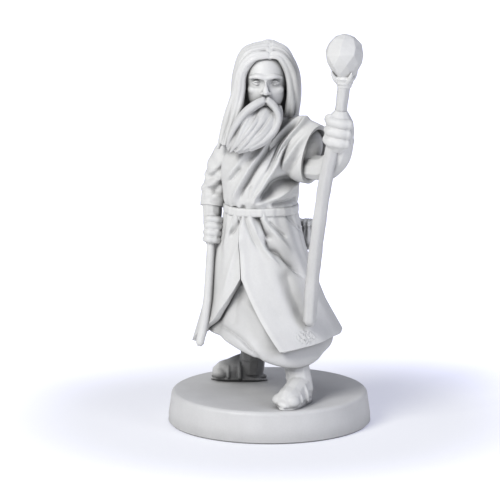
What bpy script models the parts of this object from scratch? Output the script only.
"""Robed staff bearer, a tabletop game miniature of pale grey plastic on a round base.

The figure is a kit of separate mouldings that plug and glue together: two shoes with pegs, a lower robe,
a robe skirt, a belt ring, a torso, two sleeves with hands, a head with hair and beard, and a staff in
two lengths with a clawed crystal. The pegs under the shoes plug into the base.

Sizes are in millimetres and become metres where a mesh is made. +Z is up and the figure looks towards -Y,
so its left hand is at +X. The origin is the centre of the base's underside. Heights of the figure are
counted from its soles.
"""

import math

import bmesh
import bpy
import numpy as np
from mathutils import Matrix, Vector

MM = 0.001

# Base
BASE_DIAMETER = 20.3
BASE_TOP_DIAMETER = 19.7
BASE_THICKNESS = 3.2
BASE_EDGE_RADIUS = 0.45
BASE_FOOT_CHAMFER = 0.15
FIGURE_FORWARD = 2.0

# Fits between the mouldings
GLUE_GAP = 0.1
FUSED_GAP = 0.14
PEG_GAP = 0.06
FOOT_PEG_DIAMETER = 1.4
FOOT_PEG_LENGTH = 2.0
NECK_PLUG_DIAMETER = 2.6
NECK_PLUG_LENGTH = 2.4
WAIST_PLUG_WIDTH = 3.4
WAIST_PLUG_DEPTH = 2.6
WAIST_PLUG_LENGTH = 2.4

# Shoes
SHOE_LENGTH = 5.2
SHOE_WIDTH = 3.2
SHOE_HEIGHT = 2.1
ANKLE_DIAMETER = 2.4
FRONT_HEEL = (3.75, -2.35)
FRONT_TURN = math.radians(29)
REAR_HEEL = (-0.55, 5.7)
REAR_TURN = math.radians(96)
ANKLE_INSET = 1.25
ANKLE_TOP = 9.2
ANKLE_LEAN = 0.45

# Robes
WAIST_CENTRE = (-0.85, 0.25)
WAIST_WIDTH = 7.2
WAIST_DEPTH = 6.0
BELT_HEIGHT = 18.5
BELT_WIDTH = 0.95
BELT_PROUD = 0.18
ROBE_THICKNESS = 0.6
LAP_RISE = 0.3
SEAM_ANGLE = math.radians(3)
HEM_CENTRE = (-0.2, 1.0)
HEM_WIDTH = 14.7
HEM_DEPTH = 14.6
HEM_HEIGHT = 5.9
SPLIT_HEIGHT = 12.7
UNDER_INSET = ROBE_THICKNESS + 0.35
UNDER_HEM_HEIGHT = 5.75
UNDER_HEM_RECESS = 0.6
UNDER_ROOF_HEIGHT = 7.8

# Upper body
CHEST_WIDTH = 8.3
CHEST_DEPTH = 6.5
CHEST_HEIGHT = 24.6
COLLAR_HEIGHT = 28.3
FOLD_COUNT = 9
FOLD_HEIGHT = 0.24
FOLD_LEAN = 0.24
SLEEVE_WALL = 0.55
LEFT_SHOULDER = (1.4, -0.1, 26.2)
RIGHT_SHOULDER = (-3.3, 0.7, 25.2)
LEFT_SLEEVE_POCKET = 2.6
RIGHT_SLEEVE_POCKET = 1.8
NECK_CENTRE = (-0.35, 0.0)
HEAD_CENTRE = (-0.4, -0.7, 32.0)

# Staff
STAFF_DIAMETER = 1.35
STAFF_FOOT = (3.93, -4.9, 8.5)
STAFF_GRIP = (6.74, -6.1, 27.95)
STAFF_TOP = (7.3, -6.0, 32.75)
CRYSTAL_WIDTH = 3.9
CRYSTAL_HEIGHT = 4.8
CLAW_COUNT = 4
CLAW_DIAMETER = 0.62
FINGER_DIAMETER = 0.86
FINGER_SPACING = 0.8

# Right hand and its rod
ROD_DIAMETER = 0.7
ROD_TOP = (-5.6, 0.35, 18.2)
ROD_TIP = (-6.95, -2.1, 5.6)
RIGHT_GRIP = (-5.75, 0.05, 16.75)

# Mesh fineness
ROUND_STEPS = 54
VOXEL = 0.26
SLIVER = 0.002

FLOOR = BASE_THICKNESS + GLUE_GAP
BELT_TOP = BELT_HEIGHT + BELT_WIDTH
SKIRT_TOP = BELT_HEIGHT - GLUE_GAP

PARTS = bpy.data.collections.new("staff_bearer_miniature")
CUTTERS = bpy.data.collections.new("cutters")


# Scene and small helpers


def clear_scene():
    for obj in list(bpy.data.objects):
        bpy.data.objects.remove(obj)
    for collection in (PARTS, CUTTERS):
        bpy.context.scene.collection.children.link(collection)


def plastic(name, grey, roughness):
    """Unpainted moulded plastic of one grey."""
    material = bpy.data.materials.new(name)
    material.use_nodes = True
    shader = material.node_tree.nodes["Principled BSDF"]
    shader.inputs["Base Color"].default_value = (grey, grey, grey * 0.985, 1.0)
    shader.inputs["Roughness"].default_value = roughness
    shader.inputs["Metallic"].default_value = 0.0
    return material


def figure_frame():
    """The empty that carries every piece of the figure, at sole height and forward of the base's centre."""
    empty = bpy.data.objects.new("figure_frame", None)
    empty.location = (0, -FIGURE_FORWARD * MM, FLOOR * MM)
    PARTS.objects.link(empty)
    return empty


def add_part(name, mesh, parent=None, grey=0.62, roughness=0.45):
    obj = bpy.data.objects.new(name, mesh)
    obj.parent = parent
    obj.data.materials.append(plastic(name + "_plastic", grey, roughness))
    PARTS.objects.link(obj)
    return obj


def add_cutter(name, mesh, parent=None):
    obj = bpy.data.objects.new(name, mesh)
    obj.parent = parent
    obj.hide_render = True
    obj.display_type = "WIRE"
    CUTTERS.objects.link(obj)
    return obj


def evaluated_mesh(obj):
    """The object's mesh with its modifiers applied, in the object's own frame."""
    bpy.context.view_layer.update()
    return bpy.data.meshes.new_from_object(obj.evaluated_get(bpy.context.evaluated_depsgraph_get()))


def finish_mesh(mesh, bm, smooth_angle=None):
    bmesh.ops.recalc_face_normals(bm, faces=bm.faces)
    bm.to_mesh(mesh)
    bm.free()
    if smooth_angle:
        mesh.shade_smooth()
        mesh.set_sharp_from_angle(angle=math.radians(smooth_angle))
    return mesh


def island_volume(island):
    """Six times the volume a connected body of a mesh encloses."""
    faces = {f for v in island for f in v.link_faces}
    middle = next(iter(island)).co
    return sum(f.normal.dot(f.calc_center_median() - middle) * f.calc_area() * 2 for f in faces)


def largest_island(mesh):
    """Keeps only the largest connected body of a mesh, which drops crumbs that a cut leaves."""
    bm = bmesh.new()
    bm.from_mesh(mesh)
    bmesh.ops.remove_doubles(bm, verts=bm.verts, dist=SLIVER * MM)
    bmesh.ops.dissolve_degenerate(bm, edges=bm.edges, dist=SLIVER * MM)
    bmesh.ops.delete(bm, geom=[e for e in bm.edges if not e.link_faces], context="EDGES")
    unseen, islands = set(bm.verts), []
    while unseen:
        front = [unseen.pop()]
        island = set(front)
        while front:
            near = {e.other_vert(v) for v in front for e in v.link_edges} - island
            island |= near
            front = list(near)
        unseen -= island
        islands.append(island)
    islands.sort(key=island_volume)
    crumbs = [v for island in islands[:-1] for v in island]
    bmesh.ops.delete(bm, geom=crumbs, context="VERTS")
    return finish_mesh(mesh, bm, 35)


def offset(origin, *points):
    """Points given by their distances from an origin."""
    return [Vector(origin) + Vector(point) for point in points]


def spline(rows, where):
    """A hand-chosen table read at the values `where` of its first column, on a smooth curve."""
    rows, where = np.array(rows, float), np.atleast_1d(np.asarray(where, float))
    keys, values = rows[:, 0], rows[:, 1:]
    slopes = np.gradient(values, keys, axis=0)
    low = np.clip(np.searchsorted(keys, where, side="right") - 1, 0, len(keys) - 2)
    span = (keys[low + 1] - keys[low])[:, None]
    t = np.clip((where - keys[low])[:, None] / span, 0, 1)
    start = (2 * t**3 - 3 * t**2 + 1) * values[low] + (t**3 - 2 * t**2 + t) * span * slopes[low]
    end = (3 * t**2 - 2 * t**3) * values[low + 1] + (t**3 - t**2) * span * slopes[low + 1]
    return start + end


def smoothstep(edge0, edge1, x):
    t = np.clip((x - edge0) / (edge1 - edge0), 0, 1)
    return t * t * (3 - 2 * t)


# Ways to make a solid


def loft(name, rings, joined=False):
    """A skin through rings of points, capped at both ends, or joined end to end as a ring-shaped solid."""
    mesh, bm = bpy.data.meshes.new(name), bmesh.new()
    loops = [[bm.verts.new(Vector(p) * MM) for p in ring] for ring in rings]
    around = len(loops[0])
    pairs = list(zip(loops, loops[1:])) + ([(loops[-1], loops[0])] if joined else [])
    for lower, upper in pairs:
        for k in range(around):
            n = (k + 1) % around
            bm.faces.new((lower[k], lower[n], upper[n], upper[k]))
    if not joined:
        bm.faces.new(loops[0])
        bm.faces.new(loops[-1])
    return finish_mesh(mesh, bm, 40)


def ball(centre, radii, segments=20):
    """An ellipsoid."""
    mesh, bm = bpy.data.meshes.new("ball"), bmesh.new()
    matrix = Matrix.Translation(Vector(centre) * MM) @ Matrix.Diagonal([r * MM for r in radii] + [1])
    bmesh.ops.create_uvsphere(bm, u_segments=segments, v_segments=segments // 2, radius=1, matrix=matrix)
    return finish_mesh(mesh, bm)


def dowel(start, end, diameter, end_diameter=None, segments=32):
    """A round bar, or a cone, between two points."""
    mesh, bm = bpy.data.meshes.new("dowel"), bmesh.new()
    start, end = Vector(start) * MM, Vector(end) * MM
    turn = (end - start).to_track_quat("Z", "Y").to_matrix().to_4x4()
    bmesh.ops.create_cone(
        bm,
        cap_ends=True,
        segments=segments,
        radius1=diameter / 2 * MM,
        radius2=(end_diameter or diameter) / 2 * MM,
        depth=(end - start).length,
        matrix=Matrix.Translation((start + end) / 2) @ turn,
    )
    return finish_mesh(mesh, bm, 40)


def strand(points, radii, resolution=5):
    """A tapering tube along a smooth path, as a mesh with closed ends."""
    curve = bpy.data.curves.new("strand", "CURVE")
    curve.dimensions = "3D"
    curve.bevel_depth = MM
    curve.bevel_resolution = 2
    curve.use_fill_caps = True
    keys = np.linspace(0, 1, len(points))
    rows = np.column_stack([keys, np.array(points, float), np.array(radii, float)])
    path = spline(rows, np.linspace(0, 1, (len(points) - 1) * resolution + 1))
    line = curve.splines.new("POLY")
    line.points.add(len(path) - 1)
    for point, row in zip(line.points, path):
        point.co = (*(row[:3] * MM), 1)
        point.radius = row[3]
    guide = bpy.data.objects.new("strand", curve)
    CUTTERS.objects.link(guide)
    mesh = evaluated_mesh(guide)
    bpy.data.objects.remove(guide)
    bm = bmesh.new()
    bm.from_mesh(mesh)
    bmesh.ops.remove_doubles(bm, verts=bm.verts, dist=1e-7)
    return finish_mesh(mesh, bm)


def fused(name, shapes, keep, voxel=VOXEL, smoothing=3, cuts=()):
    """One closed solid from shapes that overlap: softened, cut, and thinned to `keep` of its faces."""
    bm = bmesh.new()
    for shape in shapes:
        bm.from_mesh(shape)
    lump = add_cutter(name + "_lump", finish_mesh(bpy.data.meshes.new(name), bm))
    tools = [add_cutter(name + "_cut", cut) for cut in cuts]

    def one_skin():
        remesh = lump.modifiers.new("one_skin", "REMESH")
        remesh.mode = "VOXEL"
        remesh.voxel_size = voxel * MM

    one_skin()
    soften = lump.modifiers.new("soften", "SMOOTH")
    soften.factor = 0.5
    soften.iterations = smoothing
    for tool in tools:
        cut = lump.modifiers.new("cut", "BOOLEAN")
        cut.operation = "DIFFERENCE"
        cut.object = tool
        cut.use_self = True
    if tools:
        one_skin()
    thin = lump.modifiers.new("thin", "DECIMATE")
    thin.ratio = keep
    made = largest_island(evaluated_mesh(lump))
    for used in (lump, *tools):
        bpy.data.objects.remove(used)
    made.name = name
    return made


def combine(obj, mesh, operation):
    """A Boolean of the object with one mesh, applied."""
    tool = add_cutter(obj.name + "_tool", mesh, obj.parent)
    step = obj.modifiers.new(operation.lower(), "BOOLEAN")
    step.operation = operation
    step.object = tool
    step.solver = "EXACT"
    step.use_self = True
    made = evaluated_mesh(obj)
    obj.modifiers.clear()
    bpy.data.objects.remove(tool)
    obj.data = largest_island(made)


def grown(obj, gap):
    """The object's skin moved outwards by a gap, as a cutter's mesh."""
    mesh = obj.data.copy()
    points = np.array([v.co + v.normal * gap * MM for v in mesh.vertices])
    mesh.vertices.foreach_set("co", points.ravel())
    mesh.update()
    return mesh


def make_room(obj, *neighbours, gap=GLUE_GAP):
    """Cuts the object back from its neighbours, leaving the gap that the glue fills."""
    for neighbour in neighbours:
        combine(obj, grown(neighbour, gap), "DIFFERENCE")


# Base and shoes


def foot_point(heel, turn, along, height):
    """A point over a foot's centre line, which runs from the heel towards the toe."""
    return (heel[0] - math.sin(turn) * along, heel[1] - math.cos(turn) * along, height)


def base_disc():
    edge = BASE_EDGE_RADIUS
    top = BASE_TOP_DIAMETER / 2
    foot = BASE_DIAMETER / 2
    arc = [math.radians(a) for a in (90, 67.5, 45, 22.5, 0)]
    rim = [(top - edge + edge * math.cos(a), BASE_THICKNESS - edge + edge * math.sin(a)) for a in arc]
    outline = [(0, BASE_THICKNESS), *rim, (foot, BASE_FOOT_CHAMFER), (foot - BASE_FOOT_CHAMFER, 0), (0, 0)]
    mesh, bm = bpy.data.meshes.new("base_disc"), bmesh.new()
    points = [bm.verts.new((x * MM, 0, z * MM)) for x, z in outline]
    for pair in zip(points, points[1:]):
        bm.edges.new(pair)
    bm.to_mesh(mesh)
    bm.free()
    base = add_part("base_disc", mesh, grey=0.6, roughness=0.4)
    turn = base.modifiers.new("turned", "SCREW")
    turn.steps = turn.render_steps = ROUND_STEPS
    turn.use_merge_vertices = True
    turn.merge_threshold = 1e-6
    turned = evaluated_mesh(base)
    base.modifiers.clear()
    base.data = largest_island(turned)
    for heel, turn_angle in ((FRONT_HEEL, FRONT_TURN), (REAR_HEEL, REAR_TURN)):
        middle = Vector(foot_point(heel, turn_angle, SHOE_LENGTH / 2, BASE_THICKNESS))
        middle.y -= FIGURE_FORWARD
        depth = Vector((0, 0, FOOT_PEG_LENGTH + GLUE_GAP))
        combine(base, dowel(middle - depth, middle + depth, FOOT_PEG_DIAMETER + 2 * PEG_GAP), "DIFFERENCE")
    return base


def shoe(name, heel, turn, parent):
    """A round-toed shoe with its ankle above and its peg below, each blended into the shoe."""
    stations = [
        # share of the length, half width, height of the upper
        (0.0, 0.62, 0.62),
        (0.10, 0.84, 0.84),
        (0.30, 0.86, 1.0),
        (0.50, 0.90, 0.92),
        (0.72, 1.0, 0.70),
        (0.90, 0.86, 0.56),
        (1.0, 0.52, 0.42),
    ]
    arc = np.linspace(0, math.pi, 11)
    side = np.array((-math.cos(turn), math.sin(turn)))
    rings = []
    for share, wide, high in spline([(s, s, *rest) for s, *rest in stations], np.linspace(0, 1, 12)):
        centre = foot_point(heel, turn, share * SHOE_LENGTH, 0)
        half, top = wide * SHOE_WIDTH / 2, high * SHOE_HEIGHT
        across = np.sign(np.cos(arc)) * np.abs(np.cos(arc)) ** 0.75 * half
        up = np.abs(np.sin(arc)) ** 0.8 * top
        rings.append([(centre[0] + a * side[0], centre[1] + a * side[1], u) for a, u in zip(across, up)])
    obj = add_part(name, loft(name, rings), parent)
    ankle_foot = Vector(foot_point(heel, turn, ANKLE_INSET, SHOE_HEIGHT * 0.35))
    ankle_top = ankle_foot.lerp(Vector((*HEM_CENTRE, 0)), ANKLE_LEAN)
    ankle_top.z = ANKLE_TOP
    ankle = dowel(ankle_foot, ankle_top, ANKLE_DIAMETER, segments=20)
    combine(obj, ankle, "UNION")
    peg = dowel(
        foot_point(heel, turn, SHOE_LENGTH / 2, SHOE_HEIGHT * 0.35),
        foot_point(heel, turn, SHOE_LENGTH / 2, -FOOT_PEG_LENGTH),
        FOOT_PEG_DIAMETER,
        segments=20,
    )
    combine(obj, peg, "UNION")
    return obj


# Robes


def skirt_shape(drop):
    """Half width, half depth and centre of the robe skirt; drop is 0 at the belt and 1 at the hem."""
    waist = (WAIST_WIDTH / 2, WAIST_DEPTH / 2, *WAIST_CENTRE)
    hem = (HEM_WIDTH / 2, HEM_DEPTH / 2, *HEM_CENTRE)
    flare = spline([(0, 0), (0.28, 0.17), (0.62, 0.52), (1, 1)], drop)
    return np.array(waist) + flare * (np.array(hem) - np.array(waist))


def skirt_fold(angle, drop):
    """How far the cloth stands out in its folds. They gather under the belt and drift to the figure's left."""
    drift = angle - 0.55 * drop
    gathers = np.cos(15 * drift) * 0.13 * (1 - drop) ** 1.3
    swags = np.cos(7 * drift + 0.6) * 0.34 * drop * smoothstep(0.3, 1.5, angle) * smoothstep(6.1, 4.6, angle)
    return gathers + swags


def skirt_edges(drop):
    """Angles of the front edges: the left panel's, and the right panel's, which meets it above the split."""
    split = (SKIRT_TOP - SPLIT_HEIGHT) / (SKIRT_TOP - HEM_HEIGHT)
    down = np.clip((drop - split) / (1 - split), 0, 1)
    left_panel = math.radians(-35) + math.radians(10) * min(drop / split, 1) + math.radians(34) * down**0.9
    closed = 2 * math.pi + left_panel - SEAM_ANGLE
    opened = 2 * math.pi + math.radians(-87)
    return left_panel, closed + (opened - closed) * down**0.85


def skirt_hem(angle):
    return HEM_HEIGHT + 0.6 * np.sin(angle) - 0.3 * np.cos(angle)


def skirt_point(share, drop):
    """A point of the skirt's outer face; share runs from the left panel's edge round the back to the other."""
    first, last = skirt_edges(drop)
    angle = first + share * (last - first)
    half_width, half_depth, x, y = skirt_shape(drop)[0]
    reach = skirt_fold(angle, drop) + LAP_RISE * smoothstep(0.35, 0.0, angle - first)
    return (
        x + (half_width + reach) * math.sin(angle),
        y - (half_depth + reach) * math.cos(angle),
        SKIRT_TOP + drop * (skirt_hem(angle) - SKIRT_TOP),
    )


def robe_skirt(parent):
    """The wrapped skirt of the outer robe: an open sheet, split at the front, given its thickness inwards."""
    across, down = 64, 12
    mesh, bm = bpy.data.meshes.new("robe_skirt"), bmesh.new()
    bmesh.ops.create_grid(bm, x_segments=across, y_segments=down, size=0.5)
    for vert in bm.verts:
        vert.co = Vector(skirt_point(vert.co.x + 0.5, 0.5 - vert.co.y)) * MM
    bm.to_mesh(mesh)
    bm.free()
    obj = add_part("robe_skirt", mesh, parent)
    wall = obj.modifiers.new("cloth", "SOLIDIFY")
    wall.thickness = ROBE_THICKNESS * MM
    wall.offset = -1
    made = evaluated_mesh(obj)
    obj.modifiers.clear()
    obj.data = largest_island(made)
    return obj


def under_robe(parent, torso_part, shoes):
    """The solid lower robe that shows in the split and below the hem, recessed underneath around the ankles."""
    top = SKIRT_TOP - 2 * GLUE_GAP
    angles = np.linspace(0, 2 * math.pi, 60, endpoint=False)
    end = UNDER_HEM_HEIGHT - 0.75 * np.sin(angles) - 1.8 * np.cos(angles)

    def ring(down, inset, lift=0.0):
        points = []
        for angle, low in zip(angles, end):
            height = top + down * (low - top)
            drop = (SKIRT_TOP - height) / (SKIRT_TOP - skirt_hem(angle))
            a, b, x, y = skirt_shape(min(drop, 1))[0]
            reach = skirt_fold(angle, min(drop, 1)) - inset
            points.append((x + (a + reach) * math.sin(angle), y - (b + reach) * math.cos(angle), height + lift))
        return points

    rings = [ring(down, UNDER_INSET) for down in np.linspace(0, 0.96, 13)]
    rings += [ring(1, UNDER_INSET + 0.25), ring(1, UNDER_INSET + 0.8)]
    rings += [ring(1, UNDER_INSET + 1.1, UNDER_HEM_RECESS)]
    rings += [[(x, y, UNDER_ROOF_HEIGHT) for x, y, z in ring(1, UNDER_INSET + 3.2)]]
    obj = add_part("under_robe", loft("under_robe", rings), parent, grey=0.6)
    make_room(obj, torso_part, *shoes)
    return obj


def belt(parent):
    """A band that rings the waist plug and hides the joint between the skirt and the torso."""
    angles = np.linspace(0, 2 * math.pi, 48, endpoint=False)
    outer = np.array((WAIST_WIDTH / 2, WAIST_DEPTH / 2))
    inner = np.array((WAIST_PLUG_WIDTH / 2, WAIST_PLUG_DEPTH / 2)) + GLUE_GAP
    section = [
        (inner, 0.0),
        (outer - 0.15, 0.0),
        (outer + BELT_PROUD, 0.22),
        (outer + BELT_PROUD, 0.78),
        (outer - 0.15, 1.0),
        (inner, 1.0),
    ]
    rings = []
    for angle in angles:
        x, y = math.sin(angle), -math.cos(angle)
        rings.append(
            [
                (WAIST_CENTRE[0] + s[0] * x, WAIST_CENTRE[1] + s[1] * y, BELT_HEIGHT + up * BELT_WIDTH)
                for s, up in section
            ]
        )
    return add_part("belt", loft("belt", rings, joined=True), parent)


def torso(parent):
    """The upper robe, with folds from the belt up to the figure's left shoulder, and the waist plug."""
    angles = np.linspace(0, 2 * math.pi, ROUND_STEPS, endpoint=False)
    bottom = BELT_TOP + GLUE_GAP
    waist, chest = (WAIST_WIDTH / 2, WAIST_DEPTH / 2), (CHEST_WIDTH / 2, CHEST_DEPTH / 2)
    sections = [
        # height, half width, half depth, centre x and y, slope towards the raised shoulder
        (bottom, waist[0] - 0.08, waist[1] - 0.08, *WAIST_CENTRE, 0.0),
        (bottom + 1.4, waist[0] + 0.2, waist[1] + 0.2, -0.85, 0.2, 0.06),
        (CHEST_HEIGHT - 1.0, chest[0], chest[1], -0.75, 0.1, 0.16),
        (CHEST_HEIGHT + 1.0, chest[0] - 0.1, chest[1] - 0.15, -0.5, 0.1, 0.27),
        (COLLAR_HEIGHT - 1.6, chest[0] - 0.75, chest[1] - 0.6, -0.3, 0.15, 0.34),
        (COLLAR_HEIGHT - 0.5, chest[0] - 1.75, chest[1] - 1.2, -0.3, 0.1, 0.36),
        (COLLAR_HEIGHT, chest[0] - 2.5, chest[1] - 1.75, -0.35, 0.05, 0.34),
    ]
    rings = []
    for height in np.linspace(bottom, COLLAR_HEIGHT, 17):
        a, b, x, y, slope = spline(sections, height)[0]
        turned = angles + FOLD_LEAN * (height - bottom)
        facing = smoothstep(2.1, 1.2, np.abs(np.angle(np.exp(1j * (turned - 0.1)))))
        fade = smoothstep(COLLAR_HEIGHT, COLLAR_HEIGHT - 2.5, height)
        ridges = np.cos(FOLD_COUNT * angles) * FOLD_HEIGHT * facing * fade
        across = (a + ridges) * np.sin(turned)
        rings.append(np.column_stack([x + across, y - (b + ridges) * np.cos(turned), height + slope * across]))

    def plug(height):
        half = np.array((WAIST_PLUG_WIDTH / 2, WAIST_PLUG_DEPTH / 2))
        x, y = WAIST_CENTRE
        flat = np.full_like(angles, height)
        return np.column_stack([x + half[0] * np.sin(angles), y - half[1] * np.cos(angles), flat])

    rings = [plug(BELT_HEIGHT - WAIST_PLUG_LENGTH), plug(bottom)] + rings
    obj = add_part("torso", loft("torso", rings), parent)
    socket = dowel(
        (*NECK_CENTRE, COLLAR_HEIGHT - NECK_PLUG_LENGTH),
        (*NECK_CENTRE, COLLAR_HEIGHT + NECK_PLUG_LENGTH),
        NECK_PLUG_DIAMETER + 2 * GLUE_GAP,
    )
    combine(obj, socket, "DIFFERENCE")
    return obj


# Arms


def sleeve_rings(stations, steps, around, inset=0.0):
    """Rings along an arm; a station is a share, a centre, the way it faces, half height and half depth."""
    rows = spline(stations, steps)
    angles = np.linspace(0, 2 * math.pi, around, endpoint=False)
    rings = []
    for x, y, z, nx, ny, nz, high, deep in rows:
        facing = Vector((nx, ny, nz)).normalized()
        up = (Vector((0, 0, 1)) - facing * facing.z).normalized()
        side = facing.cross(up)
        centre = Vector((x, y, z))
        rings.append(
            [centre + up * (high - inset) * math.cos(t) + side * (deep - inset) * math.sin(t) for t in angles]
        )
    return rings


def sleeve(name, stations, pocket, neighbours, parent):
    """A wide sleeve, solid at the shoulder and hollow at its cuff for a pocket's depth."""
    around, steps = 28, np.linspace(0, 1, 9)
    obj = add_part(name, loft(name, sleeve_rings(stations, steps, around)), parent)
    first, last = np.array(stations[0][1:4]), np.array(stations[-1][1:4])
    share = 1 - pocket / np.linalg.norm(last - first)
    inside = sleeve_rings(stations, np.linspace(share, 0.97, 4), around, SLEEVE_WALL)
    out = Vector(stations[-1][4:7]).normalized() * pocket
    inside.append([point + out for point in inside[-1]])
    combine(obj, loft("pocket", inside), "DIFFERENCE")
    make_room(obj, *neighbours)
    return obj


def left_sleeve(neighbours, parent):
    """The wide sleeve of the raised arm, which falls open towards the staff."""
    start, middle, cuff = offset(LEFT_SHOULDER, (0, 0, 0), (1.7, -1.1, -0.5), (3.08, -2.2, -1.3))
    stations = [
        (0.0, *start, 0.86, -0.45, 0.0, 1.85, 1.65),
        (0.5, *middle, 0.84, -0.5, -0.1, 2.4, 1.9),
        (1.0, *cuff, 0.78, -0.6, -0.21, 3.0, 2.1),
    ]
    return sleeve("left_sleeve", stations, LEFT_SLEEVE_POCKET, neighbours, parent)


def right_sleeve(neighbours, parent):
    """The narrow sleeve of the hanging arm."""
    places = ((0, 0, 0), (-1.8, 0.8, -2.0), (-2.68, 0.9, -4.3), (-2.68, 0.4, -6.2))
    start, elbow, forearm, cuff = offset(RIGHT_SHOULDER, *places)
    stations = [
        (0.0, *start, -0.7, 0.3, -0.6, 1.6, 1.7),
        (0.35, *elbow, -0.5, 0.2, -0.8, 1.45, 1.5),
        (0.7, *forearm, -0.15, -0.1, -1.0, 1.2, 1.3),
        (1.0, *cuff, 0.0, -0.35, -1.0, 1.3, 1.3),
    ]
    return sleeve("right_sleeve", stations, RIGHT_SLEEVE_POCKET, neighbours, parent)


def fingers(grip, axis, bar, start, sweep):
    """Four fingers bent round a bar: they leave the palm at one angle and sweep round to their tips."""
    axis = Vector(axis).normalized()
    front = Vector((0, -1, 0)) - axis * Vector((0, -1, 0)).dot(axis)
    front.normalize()
    out = axis.cross(front)
    reach = bar / 2 + FINGER_DIAMETER * 0.42
    made = []
    for k in range(4):
        centre = Vector(grip) + axis * (k - 1.5) * FINGER_SPACING
        turns = np.linspace(start, start + sweep, 6)
        path = [centre + (out * math.cos(t) + front * math.sin(t)) * reach for t in turns]
        made.append(strand(path, [FINGER_DIAMETER / 2] * len(path), 2))
    return made


def left_hand(staff, cuff, parent):
    """The forearm, which leaves the cuff low down, and the fist that holds the staff."""
    axis = np.array(STAFF_TOP) - np.array(STAFF_FOOT)
    palm, wrist = offset(STAFF_GRIP, (0.78, 0.3, -0.05), (0.5, 1.0, -0.6))
    thumb = offset(STAFF_GRIP, (-0.45, 0.9, 0.5), (-0.95, 0.2, 1.0), (-0.85, -0.5, 1.45))
    forearm = offset(STAFF_GRIP, (0.65, 0.7, -0.9), (0.25, 1.2, -3.0), (-1.1, 2.5, -4.3), (-2.8, 4.0, -4.5))
    shapes = fingers(STAFF_GRIP, axis, STAFF_DIAMETER, math.radians(35), math.radians(190))
    shapes += [
        ball(palm, (0.85, 1.2, 1.6)),
        ball(wrist, (1.0, 0.95, 1.2)),
        strand(thumb, [0.5, 0.46, 0.36]),
        strand(forearm, [1.0, 1.12, 1.15, 1.1]),
    ]
    cuts = [grown(neighbour, FUSED_GAP) for neighbour in (*staff, cuff)]
    return add_part("left_hand", fused("left_hand", shapes, 0.2, 0.17, 2, cuts), parent)


def right_hand(rod, cuff, robe, parent):
    """The forearm and the fist that holds the rod, hanging beside the skirt."""
    axis = np.array(ROD_TOP) - np.array(ROD_TIP)
    palm = offset(RIGHT_GRIP, (-0.1, 0.7, 0.15))[0]
    forearm = offset(RIGHT_GRIP, (-0.05, 0.75, 0.45), (-0.1, 0.95, 1.45), (-0.1, 1.2, 3.45))
    shapes = fingers(RIGHT_GRIP, axis, ROD_DIAMETER, math.radians(20), math.radians(200))
    shapes += [ball(palm, (0.8, 0.85, 1.5)), strand(forearm, [0.8, 0.78, 0.9])]
    cuts = [grown(neighbour, FUSED_GAP) for neighbour in (rod, cuff, robe)]
    return add_part("right_hand", fused("right_hand", shapes, 0.2, 0.17, 2, cuts), parent)


def hand_rod(parent):
    return add_part("hand_rod", dowel(ROD_TIP, ROD_TOP, ROD_DIAMETER * 0.9, ROD_DIAMETER, 16), parent)


# Head


def head(parent):
    """A bald head with plain features, carried by the round neck plug."""
    x, y, z = HEAD_CENTRE
    shapes = [
        ball((x, y + 0.3, z + 0.5), (2.2, 2.65, 2.75), 32),
        ball((x, y - 0.7, z - 1.3), (1.75, 1.75, 2.0), 32),
        ball((x, y - 2.3, z + 0.75), (1.5, 0.5, 0.36)),
        strand([(x, y - 2.4, z + 0.5), (x, y - 2.75, z - 0.3), (x, y - 2.95, z - 0.95)], [0.24, 0.32, 0.42]),
        ball((x - 1.05, y - 1.75, z - 0.75), (0.62, 0.6, 0.5)),
        ball((x + 1.05, y - 1.75, z - 0.75), (0.62, 0.6, 0.5)),
        dowel((*NECK_CENTRE, COLLAR_HEIGHT - 0.6), (x, y, z - 0.5), NECK_PLUG_DIAMETER, NECK_PLUG_DIAMETER),
    ]
    obj = add_part("head", fused("head", shapes, 0.18, 0.2, 3), parent)
    plug = dowel(
        (*NECK_CENTRE, COLLAR_HEIGHT - NECK_PLUG_LENGTH + GLUE_GAP),
        (*NECK_CENTRE, COLLAR_HEIGHT + 0.6),
        NECK_PLUG_DIAMETER,
    )
    combine(obj, plug, "UNION")
    return obj


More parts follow.
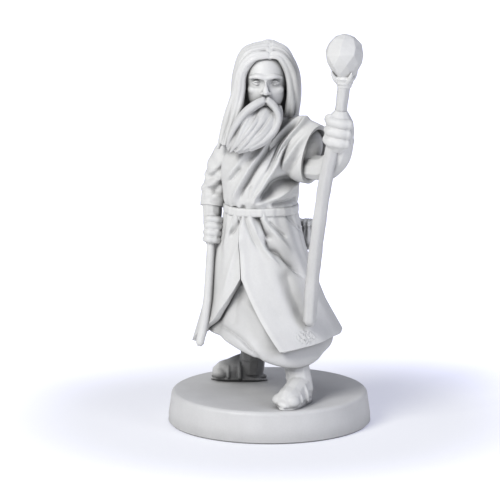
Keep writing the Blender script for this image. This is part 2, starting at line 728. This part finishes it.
def hair(neighbours, parent):
    """Long hair parted in the middle: a cap and locks, in front of one shoulder and behind the other."""
    locks = [
        # places from the head's centre, and how thick the lock is
        ([(-0.3, -1.7, 3.1), (-2.3, -1.2, 1.7), (-2.9, -0.9, -1), (-3.6, -0.8, -3.4), (-4.5, -1.2, -5.7)], 0.85),
        ([(0.0, -0.5, 3.3), (-2.5, 0.1, 1.5), (-3.0, 0.5, -1.0), (-3.3, 0.7, -3.4), (-3.8, 0.5, -5.4)], 0.95),
        ([(0.3, -1.7, 3.1), (2.3, -1.1, 1.6), (2.8, -0.6, -1.0), (2.7, 0.1, -3.1), (2.4, 1.4, -4.6)], 0.8),
        ([(0.0, 0.0, 3.2), (2.5, 0.7, 1.4), (2.9, 1.2, -1.0), (2.7, 1.9, -3.4), (2.3, 3.1, -5.6)], 0.9),
    ]
    for share in np.linspace(-1.25, 1.25, 7):
        back = 3.1 - 0.8 * share**2
        path = [(0, 1.7, 2.5), (1.3 * share, back - 0.3, 1.2), (1.7 * share, back + 0.1, 0)]
        locks.append((path + [(2.0 * share, back + 0.6, -3.0), (1.9 * share, back + 1.0, -6.4)], 1.0))
    crown, window = offset(HEAD_CENTRE, (0, 0.55, 0.75), (0, -3.2, -1.0))
    shapes = [ball(crown, (2.85, 2.95, 3.0), 32)]
    for path, thick in locks:
        shapes.append(strand(offset(HEAD_CENTRE, *path), [thick * s for s in (0.75, 1.0, 1.0, 0.95, 0.5)]))
    cuts = [ball(window, (1.75, 2.6, 3.2), 24), *(grown(neighbour, FUSED_GAP) for neighbour in neighbours)]
    return add_part("hair", fused("hair", shapes, 0.13, 0.24, 3, cuts), parent)


def beard(skull, locks, body, parent):
    """A full beard and long moustache, swept to the figure's right."""
    strands = [
        # places from the head's centre, and thicknesses
        ([(-0.2, -1.9, -2.3), (-0.8, -2.9, -3.6), (-1.9, -3.4, -5), (-3, -3.3, -6.4)], [1.1, 1.25, 1, 0.3]),
        ([(0.5, -1.9, -2.6), (0.3, -2.8, -3.9), (-0.9, -3.4, -5.3), (-2.2, -3.5, -6.3)], [1, 1.05, 0.85, 0.3]),
        ([(-0.2, -2.6, -1.5), (-1.3, -2.9, -2.4), (-2.6, -2.9, -4), (-3.6, -2.8, -5.8)], [0.4, 0.5, 0.45, 0.25]),
        ([(0.2, -2.6, -1.5), (1.1, -2.6, -2.6), (1, -3.1, -4), (0, -3.6, -5.4)], [0.4, 0.5, 0.45, 0.25]),
        ([(-1.9, -0.8, -1.6), (-1.9, -1.7, -3.1), (-2.5, -2.5, -4.8)], [0.45, 0.7, 0.5]),
        ([(1.9, -0.8, -1.6), (1.7, -1.7, -3.1), (0.8, -2.5, -4.4)], [0.45, 0.7, 0.5]),
    ]
    shapes = [strand(offset(HEAD_CENTRE, *path), thick) for path, thick in strands]
    cuts = [grown(neighbour, FUSED_GAP) for neighbour in (skull, locks, body)]
    return add_part("beard", fused("beard", shapes, 0.2, 0.2, 2, cuts), parent)


# Staff and pouch


def staff_lengths(skirt, parent):
    """The staff's two lengths, which meet inside the fist; the lower one ends against the robe's hem."""
    foot, grip, top = (Vector(p) for p in (STAFF_FOOT, STAFF_GRIP, STAFF_TOP))
    below = (grip - foot).normalized() * GLUE_GAP / 2
    above = (top - grip).normalized() * GLUE_GAP / 2
    thick, slim = STAFF_DIAMETER, STAFF_DIAMETER * 0.86
    lower = add_part("staff_lower", dowel(foot, grip - below, thick, slim, 20), parent)
    upper = add_part("staff_upper", dowel(grip + above, top, slim, thick, 20), parent)
    make_room(lower, skirt)
    return lower, upper


def staff_crystal(parent):
    """An egg-shaped crystal with flat facets, pointed towards the staff."""
    mesh, bm = bpy.data.meshes.new("staff_crystal"), bmesh.new()
    middle = Vector(STAFF_TOP) + Vector((0, 0, CRYSTAL_HEIGHT / 2 + GLUE_GAP))
    size = [CRYSTAL_WIDTH / 2 * MM, CRYSTAL_WIDTH / 2 * MM, CRYSTAL_HEIGHT / 2 * MM, 1]
    place = Matrix.Translation(middle * MM) @ Matrix.Diagonal(size)
    bmesh.ops.create_uvsphere(bm, u_segments=9, v_segments=7, radius=1)
    for vert in bm.verts:
        narrow = 1 - 0.28 * smoothstep(0.1, -1.0, vert.co.z)
        vert.co.x *= narrow
        vert.co.y *= narrow
    bm.transform(place)
    return add_part("staff_crystal", finish_mesh(mesh, bm), parent, grey=0.66)


def staff_claw(crystal, upper, parent):
    """A collar on the staff's end with prongs that hold the crystal."""
    top = Vector(STAFF_TOP)
    collar = STAFF_DIAMETER * 0.62
    shapes = [ball(top, (collar, collar, 0.55))]
    for k in range(CLAW_COUNT):
        turn = 2 * math.pi * k / CLAW_COUNT + 0.5
        way = Vector((math.cos(turn), math.sin(turn), 0))
        rise = Vector((0, 0, CRYSTAL_HEIGHT))
        path = [
            top + way * 0.3,
            top + way * CRYSTAL_WIDTH * 0.33 + rise * 0.1,
            top + way * CRYSTAL_WIDTH * 0.47 + rise * 0.28,
            top + way * CRYSTAL_WIDTH * 0.5 + rise * 0.46,
        ]
        thick = CLAW_DIAMETER / 2
        shapes.append(strand(path, [thick * 1.2, thick * 1.1, thick, thick * 0.5]))
    cuts = [grown(neighbour, FUSED_GAP) for neighbour in (crystal, upper)]
    return add_part("staff_claw", fused("staff_claw", shapes, 0.2, 0.13, 2, cuts), parent)


def hip_pouch(skirt, band, body, parent):
    """A small bag that hangs from the belt behind the staff."""
    hip = (WAIST_CENTRE[0] + WAIST_WIDTH / 2, WAIST_CENTRE[1], BELT_HEIGHT)
    bag, neck = offset(hip, (1.2, 1.85, -2.9), (1.05, 1.75, -1.7))
    strap = offset(hip, (1.0, 1.7, -1.7), (0.6, 1.5, -0.5), (0.15, 1.3, 0.6))
    shapes = [ball(bag, (0.95, 1.05, 1.35)), ball(neck, (0.55, 0.65, 0.5)), strand(strap, [0.35, 0.3, 0.3])]
    cuts = [grown(neighbour, FUSED_GAP) for neighbour in (skirt, band, body)]
    return add_part("hip_pouch", fused("hip_pouch", shapes, 0.3, 0.17, 2, cuts), parent)


def main():
    clear_scene()
    base_disc()
    figure = figure_frame()
    shoes = [
        shoe("front_shoe", FRONT_HEEL, FRONT_TURN, figure),
        shoe("rear_shoe", REAR_HEEL, REAR_TURN, figure),
    ]
    skirt = robe_skirt(figure)
    body = torso(figure)
    under_robe(figure, body, shoes)
    band = belt(figure)
    left_cuff = left_sleeve((body,), figure)
    right_cuff = right_sleeve((body,), figure)
    lower, upper = staff_lengths(skirt, figure)
    crystal = staff_crystal(figure)
    staff_claw(crystal, upper, figure)
    left_hand((lower, upper), left_cuff, figure)
    rod = hand_rod(figure)
    right_hand(rod, right_cuff, skirt, figure)
    skull = head(figure)
    locks = hair((skull, body, left_cuff, right_cuff), figure)
    beard(skull, locks, body, figure)
    hip_pouch(skirt, band, body, figure)


main()
